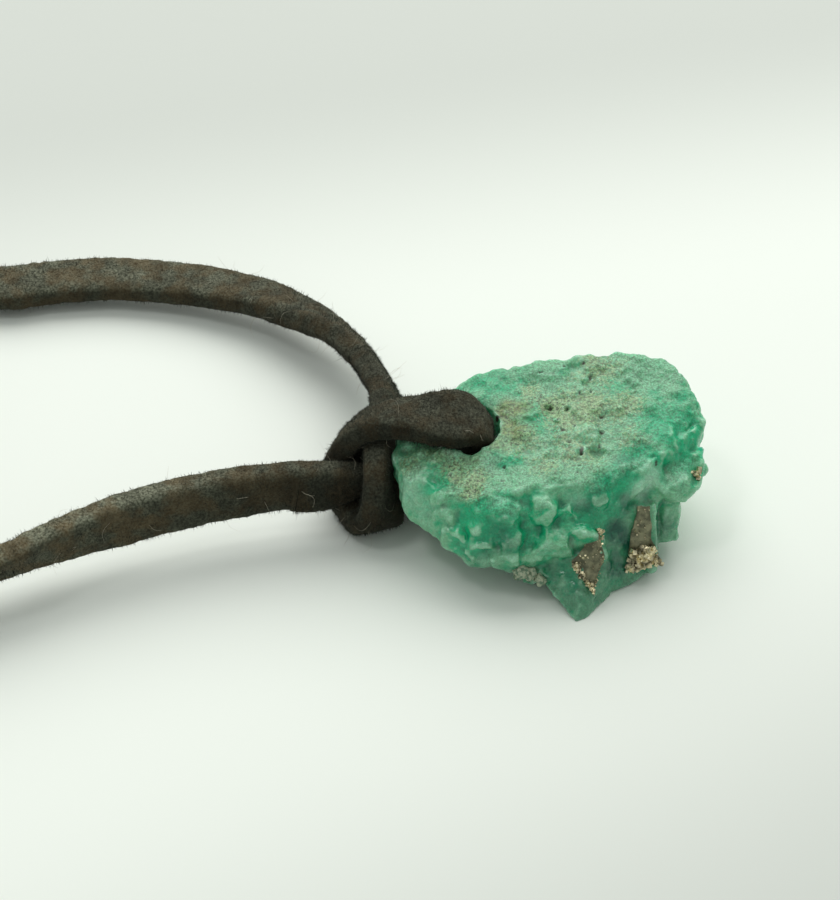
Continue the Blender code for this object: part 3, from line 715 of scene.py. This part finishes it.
def nap_piece(name, points, normals, weights, count, settings, material, rng):
    """Short fibres as closed three-sided spikes: a small triangle on the skin and one tip, leaning at random.

    The weights say how the fibres are shared among the rings."""
    rows, around = points.shape[:2]
    row = rng.choice(rows - 1, count, p=weights[:-1] / weights[:-1].sum())
    column = rng.integers(0, around, count)
    t, s = rng.random((2, count, 1))
    beside = (column + 1) % around
    near = points[row, column] * (1 - t) + points[row + 1, column] * t
    far = points[row, beside] * (1 - t) + points[row + 1, beside] * t
    root = near * (1 - s) + far * s
    normal = normals[row, column] * (1 - s) + normals[row, beside] * s
    random = rng.normal(size=(count, 3))
    long = rng.random((count, 1)) < LONG_FIBRES
    way = unit(normal + np.where(long, 1.3, 0.75) * random * 0.6)
    patchy = 0.75 + 0.45 * smooth_noise(root, 1.4, 33)[:, None]
    size = settings.nap_length / MM * rng.uniform(0.4, 1.5, (count, 1)) * patchy * np.where(long, 2.6, 1.0)
    width = rng.uniform(0.010, 0.020, (count, 1))
    first = unit(np.cross(way, random))
    ring = triangle_round(first, np.cross(way, first))
    base = root[:, None] - ROOT_DEPTH * normal[:, None] + width[:, None] * ring
    spikes = np.concatenate([base, (root + way * size)[:, None]], 1).reshape(-1, 3)
    spikes[:, 2] = np.maximum(spikes[:, 2], FLOOR_GAP)
    corners = np.array([(0, 1, 3), (1, 2, 3), (2, 0, 3), (2, 1, 0)])
    faces = (np.arange(count)[:, None, None] * 4 + corners).reshape(-1, 3)
    made = mesh_object(name, spikes, [faces], material, False)
    tone = np.clip(rng.random(count) ** 1.4 * 0.88 + 0.12 * long[:, 0] * rng.random(count), 0, 1)
    add_values(made, "tone", np.repeat(tone, 4))
    # The worn map: painted top light and side shade at each fibre's root.
    add_values(made, "worn", np.repeat(painted_top_light_share(normal), 4))
    return on_root(made)


def stray_piece(name, points, normals, count, material, rng):
    """Long single hairs as thin three-sided tubes: each leaves the skin along a random lean and curls by a sine
    of its length across a second random direction."""
    rows, around = points.shape[:2]
    row, column = rng.integers(0, rows, count), rng.integers(0, around, count)
    root, normal = points[row, column], normals[row, column]
    way = unit(normal + 0.9 * rng.normal(size=(count, 3)))
    bend = unit(np.cross(way, rng.normal(size=(count, 3))))
    size = rng.uniform(*STRAY_LENGTHS, (count, 1, 1))
    share = np.linspace(0, 1, STRAY_RINGS)[None, :, None]
    curl = rng.uniform(-0.5, 0.5, (count, 1, 1)) * size
    middle = root[:, None] - ROOT_DEPTH * normal[:, None] + way[:, None] * size * share
    middle = middle + bend[:, None] * curl * np.sin(share * math.pi * 0.9) + normal[:, None] * 0.06 * np.sqrt(share)
    radius = rng.uniform(0.006, 0.011, (count, 1, 1, 1)) * (1 - 0.6 * share[..., None])
    tubes = middle[:, :, None] + triangle_round(bend, np.cross(way, bend))[:, None] * radius
    tubes[..., 2] = np.maximum(tubes[..., 2], FLOOR_GAP)
    quads = tube_faces(STRAY_RINGS, 3)[0]
    total = STRAY_RINGS * 3
    caps = np.array([(2, 1, 0), (total - 3, total - 2, total - 1)])
    offsets = np.arange(count)[:, None, None] * total
    faces = [(offsets + quads).reshape(-1, 4), (offsets + caps).reshape(-1, 3)]
    return on_root(mesh_object(name, tubes.reshape(-1, 3), faces, material))


class EMERALD_OT_lace(Operator):
    """The flat suede lace: the half knot in the hole, both free strands with their coil, and the nap on them"""

    bl_idname = "emerald.lace"
    bl_label = "Suede lace"

    def execute(self, context):
        settings = context.scene.emerald_lace
        suede, fibres, pale = suede_material(settings), fibre_material(settings), stray_material()
        line, lengths, back_exit, front_exit = whole_lace()
        rng = np.random.default_rng(7)

        def within(wanted, reach):
            return (wanted > back_exit - reach) & (wanted < front_exit + reach)

        for name, start, stop, nap_count, stray_count in (
            ("lace_back_strand", 0.0, back_exit, 40000, 24),
            ("lace_knot", back_exit, front_exit, 42000, 70),
            ("lace_front_strand", front_exit, lengths[-1], 40000, 24),
        ):
            wanted = steps_along(start, stop, back_exit - NEAR_KNOT, front_exit + NEAR_KNOT)
            part = at_lengths(line, lengths, wanted)
            piece, points, normals = lace_piece(name, part, settings, suede)
            weights = np.gradient(wanted) * np.where(within(wanted, NEAR_KNOT), 5.0, 1.0)
            nap = nap_piece(name + "_nap", points, normals, weights, nap_count, settings, fibres, rng)
            seen = within(wanted, STRAY_REACH)
            strays = stray_piece(name + "_strays", points[seen], normals[seen], stray_count, pale, rng)
        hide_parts("lace_hitch")
        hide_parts("lace_strand_upper", "lace_coil")
        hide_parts("lace_strand_lower", "lace_coil")
        return {"FINISHED"}


# ---------------------------------------------------------------- the stone


def merged_copy(name):
    """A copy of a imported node's mesh with its loose triangles joined."""
    bm = bmesh.new()
    bm.from_mesh(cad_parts[name].data)
    bmesh.ops.remove_doubles(bm, verts=bm.verts, dist=0.002 * MM)
    mesh = bpy.data.meshes.new(name + "_copy")
    bm.to_mesh(mesh)
    bm.free()
    made = bpy.data.objects.new(name + "_copy", mesh)
    bpy.context.scene.collection.objects.link(made)
    return made


def remeshed(obj, voxel):
    """The points and quads of the object's shape on an even grid, in drawing millimetres. The object is removed."""
    modifier = obj.modifiers.new("even", "REMESH")
    modifier.mode = "VOXEL"
    modifier.voxel_size = voxel
    mesh = bpy.data.meshes.new_from_object(obj.evaluated_get(bpy.context.evaluated_depsgraph_get()))
    points = np.empty(len(mesh.vertices) * 3, np.float32)
    mesh.vertices.foreach_get("co", points)
    sides = np.empty(len(mesh.polygons), np.int32)
    mesh.polygons.foreach_get("loop_total", sides)
    corners = np.empty(len(mesh.loops), np.int32)
    mesh.loops.foreach_get("vertex_index", corners)
    if not (sides == 4).all():
        raise RuntimeError("the remeshed stone has faces that aren't quads")
    bpy.data.meshes.remove(mesh)
    copied = obj.data
    bpy.data.objects.remove(obj)
    bpy.data.meshes.remove(copied)
    return points.reshape(-1, 3).astype(float) / MM - SHIFT, corners.reshape(-1, 4)


def edges_of(quads):
    ends = np.sort(np.concatenate([quads[:, [k, (k + 1) % 4]] for k in range(4)]), axis=1)
    return np.unique(ends, axis=0)


def neighbour_mean(values, edges):
    """For each point the mean of its neighbours' values."""
    count = len(values)
    starts = np.concatenate([edges[:, 0], edges[:, 1]])
    ends = np.concatenate([edges[:, 1], edges[:, 0]])
    shared = np.bincount(starts, minlength=count)
    columns = values.reshape(count, -1).T
    total = np.stack([np.bincount(starts, weights=column[ends], minlength=count) for column in columns], 1)
    return (total / shared[:, None]).reshape(values.shape)


def relaxed(values, edges, rounds, share=0.6):
    """Each round moves every value the share of the way to its neighbours' mean."""
    for _ in range(rounds):
        values = values + share * (neighbour_mean(values, edges) - values)
    return values


def normals_of(points, quads):
    """Each point's normal: the sum of the crossed diagonals of the quads round it."""
    crossed = np.cross(points[quads[:, 2]] - points[quads[:, 0]], points[quads[:, 3]] - points[quads[:, 1]])
    total = np.stack([
        sum(np.bincount(quads[:, k], weights=crossed[:, axis], minlength=len(points)) for k in range(4))
        for axis in range(3)
    ], 1)
    return unit(total, 1e-12)


def stone_surface(settings):
    """The stone's points and quads with the maps that its material reads.

    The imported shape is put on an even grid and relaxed, so that its flat triangles go. Crowded cube-like crystals
    stand out of its sides, its rim is uneven, a low sugary grain covers it all, and pits are pressed into the
    top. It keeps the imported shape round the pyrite."""
    points, quads = remeshed(merged_copy("emerald_matrix"), settings.grid)
    edges = edges_of(quads)
    points = relaxed(points, edges, 4)
    normals = normals_of(points, quads)
    wavy = 0.35 * smooth_noise(points, 1.3, 95)
    top = relaxed(ramp(normals[:, 2] + wavy, 0.45, 0.95) * ramp(points[:, 2] + wavy, 4.2, 5.4), edges, 8)
    tier = ramp(2.6 - points[:, 2], 0.0, 0.7) * ramp(-points[:, 1], 0.5, 2.0)
    foot = ramp(points[:, 2], 0.05, 0.5)
    side = (1 - top) * foot
    from_hole = np.hypot(points[:, 0] - HOLE[0], points[:, 1] - HOLE[1])
    rim = 4 * top * (1 - top) * ramp(from_hole, 2.0, 3.0)
    bigger, tone = blocks(warp(points, 1.5, 0.25, 3), BIG_BLOCK, 40)
    smaller, fine_tone = blocks(points, SMALL_BLOCK, 60)
    crystals = relaxed((bigger - 0.55) + 0.15 * (smaller - 0.6), edges, 3)
    height = side * (1 - 0.6 * tier) * settings.facet_height / MM * crystals
    height += rim * 0.22 * layered_noise(points, 0.75, 71, 2) + side * 0.07 * layered_noise(points, 0.45, 72, 2)
    waves = 0.15 * layered_noise(points, 1.5, 70, 2) + 0.05 * layered_noise(points, 0.6, 73, 2)
    height += top * (waves + 0.035 * (smaller - 0.6))
    for corners in (*PYRITE_FACES.values(), PYRITE_PATCH):
        height *= ramp(np.linalg.norm(points - np.mean(corners, axis=0), axis=1), 0.8, 1.5)
    height += RIM_LEAN * gathered(points, RIM_SPOTS, 97)
    points = points + normals * height[:, None]
    normals = normals_of(points, quads)
    grain = layered_noise(points, 0.26, 80, 2) * foot * (0.2 + 0.8 * top) * settings.grain_height / MM
    points = points + normals * grain[:, None]
    pit = np.zeros(len(points))
    worn = warp(points, 0.25, 0.09, 90)
    for x, y, half_width, half_length in PITS:
        distance = np.hypot((worn[:, 0] - x) / half_width, (worn[:, 1] - y) / half_length) / PIT_SHARE
        pit = np.maximum(pit, ramp(1.30 - distance, 0.0, 0.5) * ramp(points[:, 2], 5.0, 5.4))
    points[:, 2] = np.maximum(points[:, 2] - PIT_DEPTH * pit * top, 0.0)
    normals = normals_of(points, quads)
    bend, swell = (((points - relaxed(points, edges, rounds)) * normals).sum(1) for rounds in (3, 30))
    crystal_green = (1 - top) * (0.4 + 0.4 * (tone - 0.5) - ramp(swell, 0.0, 0.09))
    # Painted shade in the hollows of the sides.
    painted_hollow_shade = (1 - top) * 0.6 * ramp(-swell, 0.01, 0.10)
    deep = np.maximum.reduce([0.5 * tier, gathered(points, DEEP_SPOTS, 14), painted_hollow_shade]) * (0.8 + 0.3 * fine_tone)
    ridges = (1 - 0.6 * top) * np.maximum(0.6 * ramp(bend, 0.006, 0.03), 0.5 * ramp(swell, 0.03, 0.13))
    specked = 0.12 + 0.9 * gathered(points, BEIGE_SPOTS, 15) + gathered(points, STAIN_SPOTS, 16)
    maps = {
        "emerald": np.clip(gathered(points, EMERALD_SPOTS, 11) + crystal_green, 0, 1),
        "beige": gathered(points, BEIGE_SPOTS, 12) * (0.3 + 0.7 * top),
        "stain": gathered(points, STAIN_SPOTS, 13) * (0.2 + 0.8 * top),
        # deep: the dark lower crystals, with painted shade in the hollows and under the front ledge.
        "deep": np.clip(deep, 0, 1),
        "edge": np.maximum(ridges, 0.6 * gathered(points, PALE_SPOTS, 17)),
        "pit": pit,
        "dirt": np.clip(top * specked, 0, 0.95),
        "clear": np.clip((1 - top) * (0.5 + 0.5 * tone), 0, 1),
    }
    return points, quads, maps


class EMERALD_OT_stone(Operator):
    """The drilled stone: worn matrix and emerald above, crowded crystals on the sides, a dark lower tier"""

    bl_idname = "emerald.stone"
    bl_label = "Emerald in matrix"

    def execute(self, context):
        settings = context.scene.emerald_stone
        points, quads, maps = stone_surface(settings)
        stone = mesh_object("stone", points, facing_out(points, quads), stone_material(settings))
        for name, values in maps.items():
            add_values(stone, name, values)
        on_root(stone)
        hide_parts("emerald_matrix")
        return {"FINISHED"}


# ---------------------------------------------------------------- pyrite and grains


def over_corners(corners, across, down):
    """Places blended between four corners, by shares across and down."""
    first, second, third, fourth = np.array(corners)
    return (first * (1 - across) + second * across) * (1 - down) + (fourth * (1 - across) + third * across) * down


def plate(corners, seed):
    """A closed plate over four corners: a grid blended between them, its outline made uneven by noise, its front
    in low relief and its back smaller and sunk by the depth."""
    first, second, third, fourth = np.array(corners)
    normal = np.cross(third - first, second - fourth)
    normal *= -np.sign(normal[1]) / np.linalg.norm(normal)
    even = np.linspace(0, 1, PLATE_STEPS)
    across, down = (shares.reshape(-1, 1) for shares in np.meshgrid(even, even))
    flat = over_corners(corners, across, down)
    middle = flat.mean(0)
    flat = warp(warp(flat, 0.9, 0.12, seed), 0.35, 0.06, seed + 5)
    front = flat + normal * (0.05 * layered_noise(flat, 0.5, seed + 1, 2))[:, None]
    back = middle + 0.8 * (flat - middle) - normal * PLATE_DEPTH
    total = PLATE_STEPS**2
    index = np.arange(total).reshape(PLATE_STEPS, PLATE_STEPS)
    grid = np.stack([index[:-1, :-1], index[:-1, 1:], index[1:, 1:], index[1:, :-1]], -1).reshape(-1, 4)
    rim = np.concatenate([index[0, :-1], index[:-1, -1], index[-1, :0:-1], index[:0:-1, 0]])
    after = np.roll(rim, -1)
    walls = np.stack([rim, rim + total, after + total, after], -1)
    return np.vstack([front, back]), np.vstack([grid, grid[:, ::-1] + total, walls])


def cube_grains(places, sizes, rng):
    """Small uneven cubes, each turned at random about its place, as one set of points and quads."""
    count = len(places)
    corners = np.array(list(itertools.product((-1, 1), repeat=3)), float)
    turns = np.linalg.qr(rng.normal(size=(count, 3, 3)))[0]
    turns *= np.sign(np.linalg.det(turns))[:, None, None]
    shape = corners * rng.uniform(0.7, 1.0, (count, 8, 3)) * rng.uniform(0.7, 1.2, (count, 1, 3))
    points = places[:, None] + np.einsum("nij,nkj->nki", turns, shape) * (sizes / 2)[:, None, None]
    sides = np.array([(0, 1, 3, 2), (4, 6, 7, 5), (0, 4, 5, 1), (2, 3, 7, 6), (0, 2, 6, 4), (1, 5, 7, 3)])
    return points.reshape(-1, 3), (np.arange(count)[:, None, None] * 8 + sides).reshape(-1, 4)


def lumps(rows, seed):
    """Closed rough lumps from rows of place and radius: cubes' grids pushed out to spheres, then to noise."""
    bm = bmesh.new()
    bmesh.ops.create_cube(bm, size=2.0)
    bmesh.ops.subdivide_edges(bm, edges=bm.edges, cuts=12, use_grid_fill=True)
    bm.verts.ensure_lookup_table()
    cube = np.array([vert.co[:] for vert in bm.verts])
    faces = np.array([[vert.index for vert in face.verts] for face in bm.faces])
    bm.free()
    ball = unit(cube)
    points = []
    for k, (x, y, z, radius) in enumerate(rows):
        size = radius * (0.8 + 0.30 * layered_noise(ball, 0.9, seed + k, 3))
        points.append(np.array((x, y, z)) + ball * size[:, None])
    return np.vstack(points), np.vstack([faces + k * len(ball) for k in range(len(rows))])


def scattered(corners, count, on_rim, sizes, rng):
    """Places and sizes of grains over four corners' patch, or only near its rim."""
    across, down = rng.random((2, count, 1))
    if on_rim:
        side = rng.integers(0, 4, (count, 1))
        across = np.where(side == 0, 0.03, np.where(side == 1, 0.97, across))
        down = np.where(side == 2, 0.04, np.where(side == 3, 0.96, down))
    places = over_corners(corners, across, down) + (0.0, -0.09, 0.05) + rng.normal(0, 0.05, (count, 3))
    return places, rng.uniform(*sizes, count)


class EMERALD_OT_pyrite(Operator):
    """The pyrite's flat faces and gold grains, and the beige grains of the matrix, seated in the stone's front"""

    bl_idname = "emerald.pyrite"
    bl_label = "Pyrite and grains"

    def execute(self, context):
        metal = pyrite_material("pyrite", (0.30, 0.295, 0.185), (0.12, 0.125, 0.08), 0.38)
        gold = pyrite_material("pyrite_grains", (0.85, 0.76, 0.50), (0.22, 0.20, 0.13), 0.32)
        rng = np.random.default_rng(11)
        pieces = []
        for seed, (name, corners) in enumerate(PYRITE_FACES.items()):
            points, quads = plate(corners, 200 + 10 * seed)
            pieces.append(mesh_object(name, points, facing_out(points, quads), metal, False))
        left, right = PYRITE_FACES["pyrite_left"], PYRITE_FACES["pyrite_right"]
        first, second, third, fourth = np.array(left)
        lower_edge = [fourth, fourth + (0.25, 0, 0.1), third + (0.2, 0, 0.1), third]
        top_corner = [first, first + (0.15, 0, 0), second * 0.5 + first * 0.5, first * 0.8 + second * 0.2]
        grains = [scattered(*row, rng) for row in (
            (lower_edge, 55, False, (0.06, 0.20)), (top_corner, 14, False, (0.07, 0.2)),
            (left, 26, True, (0.05, 0.13)), (left, 34, False, (0.04, 0.09)),
            (right, 20, False, (0.05, 0.10)), (PYRITE_PATCH, 240, False, (0.09, 0.26)),
        )]
        grains.append((np.array(PYRITE_RIM_GRAIN) + rng.normal(0, 0.12, (9, 3)), rng.uniform(0.15, 0.3, 9)))
        places, sizes = zip(*grains)
        points, quads = cube_grains(np.vstack(places), np.concatenate(sizes), rng)
        pieces.append(mesh_object("pyrite_grains", points, [quads], gold, False))
        points, quads = lumps(BEIGE_GRAINS, 300)
        pieces.append(mesh_object("beige_grains", points, facing_out(points, quads), grain_material()))
        for piece in pieces:
            on_root(piece)
            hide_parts("emerald_matrix")
        return {"FINISHED"}


# ---------------------------------------------------------------- camera and stage


class EMERALD_OT_camera(Operator):
    """The camera, above the front of the stone"""

    bl_idname = "emerald.camera"
    bl_label = "Camera"

    def execute(self, context):
        data = bpy.data.cameras.new("camera")
        data.sensor_fit = "VERTICAL"
        data.sensor_width = data.sensor_height = SENSOR
        data.lens = CAMERA_LENS
        data.clip_start, data.clip_end = 0.01, 10.0
        camera = bpy.data.objects.new("camera", data)
        context.scene.collection.objects.link(camera)
        back = Vector((0.0, -math.cos(CAMERA_ELEVATION), math.sin(CAMERA_ELEVATION)))
        target = Vector((np.array(CAMERA_TARGET) + SHIFT) * MM)
        camera.location = target + back * CAMERA_DISTANCE * MM
        camera.rotation_euler = (math.pi / 2 - CAMERA_ELEVATION, 0.0, 0.0)
        context.scene.camera = camera
        return {"FINISHED"}


def soft_light(name, place, sides, power, colour):
    """A rectangular area light at a place, facing the origin, in millimetres."""
    data = bpy.data.lights.new(name, "AREA")
    data.shape = "RECTANGLE"
    data.size, data.size_y = (side * MM for side in sides)
    data.energy = power
    data.color = colour
    made = bpy.data.objects.new(name, data)
    made.location = Vector(place) * MM
    made.rotation_euler = (-Vector(place)).to_track_quat("-Z", "Y").to_euler()
    bpy.context.scene.collection.objects.link(made)


def floor_material(colour):
    """A pale matt floor with painted shade: a little greyer towards its back left and towards its front right, where
    the light falls off.
    """
    made, tree, shader = blank_material("pale_floor")
    parts = parts_of(millimetres(tree))
    # Painted shade of the light's falloff towards the back left and the front right.
    back = maths("SUBTRACT", parts["Y"], times(parts["X"], 0.25))
    right = maths("SUBTRACT", times(parts["X"], 0.6), parts["Y"])
    shade = times(stepped(back, 20.0, 49.0, 1.0, 0.70), stepped(right, 2.0, 40.0, 1.0, 0.71))
    tint = mixed(tree, 1.0, colour, shade, "MULTIPLY")
    fill(shader, {"Base Color": tint, "Roughness": 0.7, "Specular IOR Level": 0.2})
    return made


class EMERALD_OT_stage(Operator):
    """The pale floor, the even sky and the soft lights"""

    bl_idname = "emerald.stage"
    bl_label = "Stage"

    def execute(self, context):
        settings = context.scene.emerald_stage
        world = bpy.data.worlds.new("sky")
        world.use_nodes = True
        fill(world.node_tree.nodes["Background"], {"Color": (0.95, 1.0, 0.96), "Strength": settings.sky})
        context.scene.world = world
        soft_light("glint", (-160.0, -40.0, 360.0), (70.0, 70.0), GLINT_SHARE * settings.key, (1.0, 1.0, 1.0))
        soft_light("key", (0.0, 290.0, 330.0), (640.0, 430.0), settings.key, (1.0, 0.99, 0.96))
        corners = FLOOR_REACH * np.array([(-1.0, -1.0, 0.0), (1.0, -1.0, 0.0), (1.0, 1.0, 0.0), (-1.0, 1.0, 0.0)])
        floor = mesh_object("floor", corners, [np.array([(0, 1, 2, 3)])], floor_material(settings.floor))
        context.scene.view_settings.view_transform = "Standard"
        return {"FINISHED"}


# ---------------------------------------------------------------- panel, registering and running


class EMERALD_PT_panel(Panel):
    """Lists the pieces in the order in which they are made"""

    bl_idname = "EMERALD_PT_panel"
    bl_label = "Emerald in matrix"
    bl_space_type = "VIEW_3D"
    bl_region_type = "UI"
    bl_category = "Emerald"

    def draw(self, context):
        for group in (context.scene.emerald_lace, context.scene.emerald_stone, context.scene.emerald_stage):
            box = self.layout.box()
            for name in group.__annotations__:
                box.prop(group, name)
        for operator in OPERATORS:
            self.layout.operator(operator.bl_idname)


SETTINGS = {"emerald_lace": LaceSettings, "emerald_stone": StoneSettings, "emerald_stage": StageSettings}
OPERATORS = (EMERALD_OT_camera, EMERALD_OT_lace, EMERALD_OT_stone, EMERALD_OT_pyrite, EMERALD_OT_stage)


def register():
    for made in (*SETTINGS.values(), *OPERATORS, EMERALD_PT_panel):
        bpy.utils.register_class(made)
    for name, made in SETTINGS.items():
        setattr(bpy.types.Scene, name, PointerProperty(type=made))


def unregister():
    for name in SETTINGS:
        delattr(bpy.types.Scene, name)
    for made in reversed((*SETTINGS.values(), *OPERATORS, EMERALD_PT_panel)):
        bpy.utils.unregister_class(made)


def main():
    register()
    for operator in OPERATORS:
        group, name = operator.bl_idname.split(".")
        getattr(getattr(bpy.ops, group), name)()


if __name__ == "__main__":
    main()
